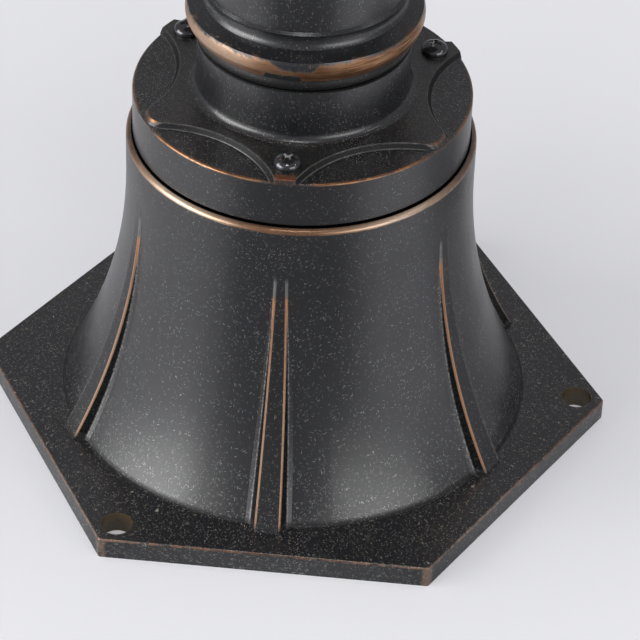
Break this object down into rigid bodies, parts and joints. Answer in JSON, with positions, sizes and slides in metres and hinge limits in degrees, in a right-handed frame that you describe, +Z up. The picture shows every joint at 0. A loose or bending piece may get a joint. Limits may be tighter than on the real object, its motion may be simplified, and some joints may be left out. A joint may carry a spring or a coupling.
{
  "type": "outdoor pier lantern",
  "caption": "Hexagonal outdoor pier lantern: bell-shaped ribbed cast foot on a hexagonal plate, screwed star cap, turned stem, glazed cage and hipped roof with a finial.",
  "frame": {"origin": "on the ground under the middle of the hexagonal foot plate", "axes": "+Z up the stem; -Y faces the flat of the plate with a cap screw above it; +X points at a mounting hole"},
  "size_m": [0.2472, 0.214, 0.5462],
  "materials": {
    "painted_casting": "cast aluminium under satin black paint with pale flecks, rubbed to copper along the edges",
    "blackened_steel": "blackened",
    "zinc_steel": "zinc plated",
    "brass": "plain",
    "rubber": "matt",
    "clear_glass": "clear",
    "porcelain": "glazed",
    "opal_lamp": "opal globe, metal cap",
    "block_plastic": "moulded"
  },
  "bodies": {
    "root": {"base_casting": "painted_casting", "cap_casting": "painted_casting", "stem_casting": "painted_casting", "lantern_pan": "painted_casting", "lantern_cage": "painted_casting", "roof": "painted_casting", "finial": "painted_casting", "cap_screws": "blackened_steel", "cage_screws": "blackened_steel", "bridge_screws": "blackened_steel", "tie_tube": "zinc_steel", "tie_washer": "zinc_steel", "tie_nut": "zinc_steel", "pan_washer": "zinc_steel", "pan_nut": "zinc_steel", "glass_tabs": "zinc_steel", "bridge_bar": "zinc_steel", "roof_stud": "zinc_steel", "stud_nuts": "zinc_steel", "block_screw": "zinc_steel", "earth_washer": "zinc_steel", "lampholder_shell": "brass", "lampholder_contact": "brass", "terminal_screws": "brass", "earth_screw": "brass", "cap_gasket": "rubber", "roof_seal": "rubber", "glass_pane_1": "clear_glass", "glass_pane_2": "clear_glass", "glass_pane_3": "clear_glass", "glass_pane_4": "clear_glass", "glass_pane_5": "clear_glass", "glass_pane_6": "clear_glass", "lampholder_body": "porcelain", "lamp": "opal_lamp", "terminal_block": "block_plastic"}
  },
  "joints": []
}
